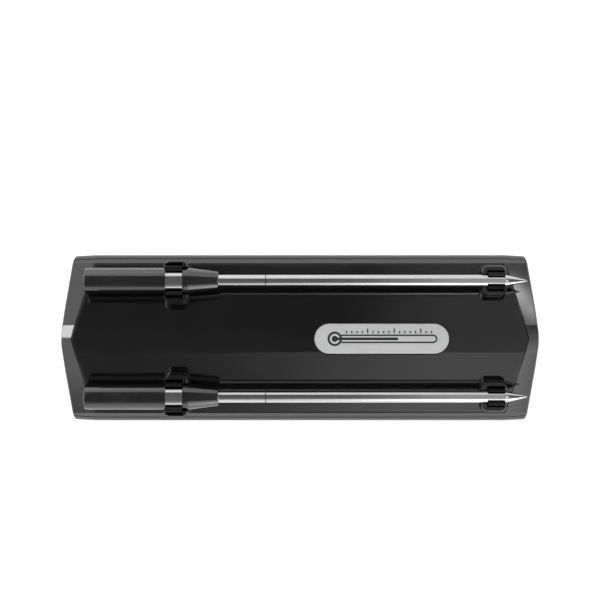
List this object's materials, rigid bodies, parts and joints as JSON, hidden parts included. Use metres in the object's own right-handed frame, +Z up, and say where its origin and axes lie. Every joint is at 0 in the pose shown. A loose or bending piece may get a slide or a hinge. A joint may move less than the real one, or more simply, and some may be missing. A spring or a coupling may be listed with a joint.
{
  "type": "meat thermometer",
  "caption": "Wireless meat thermometer: pointed leave-in probes resting in clip cradles on a long faceted charging dock.",
  "frame": {"origin": "middle of the dock's foot pad, on the table plane", "axes": "+X along the probes towards their tips, +Y across the dock, +Z up"},
  "size_m": [0.18, 0.064, 0.03],
  "materials": {
    "gloss_black": "polished",
    "seal_rubber": "matte",
    "badge_metal": "satin",
    "foot_rubber": "matte",
    "screw_steel": "satin",
    "magnet_nickel": "polished",
    "battery_wrap": "matte",
    "board_green": "satin",
    "shield_metal": "satin",
    "buzzer_black": "matte",
    "tongue_black": "matte",
    "lens_clear": "polished",
    "button_black": "satin",
    "clip_black": "matte",
    "contact_gold": "polished",
    "probe_black": "satin",
    "probe_steel": "polished",
    "sensor_black": "matte"
  },
  "bodies": {
    "dock": {"base_shell": "gloss_black", "top_shell": "gloss_black", "seal": "seal_rubber", "badge": "badge_metal", "foot_pad": "foot_rubber", "case_screws": "screw_steel", "magnets": "magnet_nickel", "battery": "battery_wrap", "main_board": "board_green", "radio_module": "shield_metal", "buzzer": "buzzer_black", "usb_socket": "shield_metal", "usb_tongue": "tongue_black", "switch_board": "board_green", "light_lens": "lens_clear", "handle_seats": "clip_black", "shaft_seats": "clip_black", "charge_contacts": "contact_gold", "contact_boards": "board_green"},
    "power_button": {"power_button": "button_black"},
    "arm_a_handle_out": {"arm_a_handle_out": "clip_black"},
    "arm_a_handle_in": {"arm_a_handle_in": "clip_black"},
    "arm_a_shaft_out": {"arm_a_shaft_out": "clip_black"},
    "arm_a_shaft_in": {"arm_a_shaft_in": "clip_black"},
    "arm_b_handle_out": {"arm_b_handle_out": "clip_black"},
    "arm_b_handle_in": {"arm_b_handle_in": "clip_black"},
    "arm_b_shaft_out": {"arm_b_shaft_out": "clip_black"},
    "arm_b_shaft_in": {"arm_b_shaft_in": "clip_black"},
    "probe_a": {"probe_a_handle": "probe_black", "probe_a_ring": "probe_steel", "probe_a_collar": "probe_black", "probe_a_shaft": "probe_steel", "probe_a_tip": "probe_steel", "probe_a_board": "board_green", "probe_a_sensors": "sensor_black", "probe_a_cell": "shield_metal"},
    "probe_b": {"probe_b_handle": "probe_black", "probe_b_ring": "probe_steel", "probe_b_collar": "probe_black", "probe_b_shaft": "probe_steel", "probe_b_tip": "probe_steel", "probe_b_board": "board_green", "probe_b_sensors": "sensor_black", "probe_b_cell": "shield_metal"}
  },
  "joints": [
    {"name": "button_press", "type": "slide", "parent": "dock", "child": "power_button", "axis": [1, 0, 0], "range_m": [0, 0.0005], "stiffness_N_per_m": 1500},
    {"name": "probe_a_lift", "type": "slide", "parent": "dock", "child": "probe_a", "axis": [0, 0, 1], "range_m": [0, 0.06]},
    {"name": "arm_a_handle_out_flex", "type": "hinge", "parent": "dock", "child": "arm_a_handle_out", "pos_m": [-0.0474, 0.02725, 0.0191], "axis": [-1, 0, 0], "range_deg": [0, 7], "stiffness_Nm_per_rad": 0.015},
    {"name": "arm_a_handle_in_flex", "type": "hinge", "parent": "dock", "child": "arm_a_handle_in", "pos_m": [-0.0474, 0.01655, 0.0191], "axis": [1, 0, 0], "range_deg": [0, 7], "stiffness_Nm_per_rad": 0.015},
    {"name": "arm_a_shaft_out_flex", "type": "hinge", "parent": "dock", "child": "arm_a_shaft_out", "pos_m": [0.0741, 0.02487, 0.0205], "axis": [-1, 0, 0], "range_deg": [0, 5.5], "stiffness_Nm_per_rad": 0.008},
    {"name": "arm_a_shaft_in_flex", "type": "hinge", "parent": "dock", "child": "arm_a_shaft_in", "pos_m": [0.0741, 0.01893, 0.0205], "axis": [1, 0, 0], "range_deg": [0, 5.5], "stiffness_Nm_per_rad": 0.008},
    {"name": "probe_b_lift", "type": "slide", "parent": "dock", "child": "probe_b", "axis": [0, 0, 1], "range_m": [0, 0.06]},
    {"name": "arm_b_handle_out_flex", "type": "hinge", "parent": "dock", "child": "arm_b_handle_out", "pos_m": [-0.0474, -0.02725, 0.0191], "axis": [1, 0, 0], "range_deg": [0, 7], "stiffness_Nm_per_rad": 0.015},
    {"name": "arm_b_handle_in_flex", "type": "hinge", "parent": "dock", "child": "arm_b_handle_in", "pos_m": [-0.0474, -0.01655, 0.0191], "axis": [-1, 0, 0], "range_deg": [0, 7], "stiffness_Nm_per_rad": 0.015},
    {"name": "arm_b_shaft_out_flex", "type": "hinge", "parent": "dock", "child": "arm_b_shaft_out", "pos_m": [0.0741, -0.02487, 0.0205], "axis": [1, 0, 0], "range_deg": [0, 5.5], "stiffness_Nm_per_rad": 0.008},
    {"name": "arm_b_shaft_in_flex", "type": "hinge", "parent": "dock", "child": "arm_b_shaft_in", "pos_m": [0.0741, -0.01893, 0.0205], "axis": [-1, 0, 0], "range_deg": [0, 5.5], "stiffness_Nm_per_rad": 0.008}
  ],
  "couplings": [
    {"joint": "arm_a_handle_in_flex", "follows": "arm_a_handle_out_flex", "ratio": 1},
    {"joint": "arm_a_shaft_out_flex", "follows": "arm_a_handle_out_flex", "ratio": 0.78571},
    {"joint": "arm_a_shaft_in_flex", "follows": "arm_a_handle_out_flex", "ratio": 0.78571},
    {"joint": "arm_b_handle_in_flex", "follows": "arm_b_handle_out_flex", "ratio": 1},
    {"joint": "arm_b_shaft_out_flex", "follows": "arm_b_handle_out_flex", "ratio": 0.78571},
    {"joint": "arm_b_shaft_in_flex", "follows": "arm_b_handle_out_flex", "ratio": 0.78571}
  ]
}
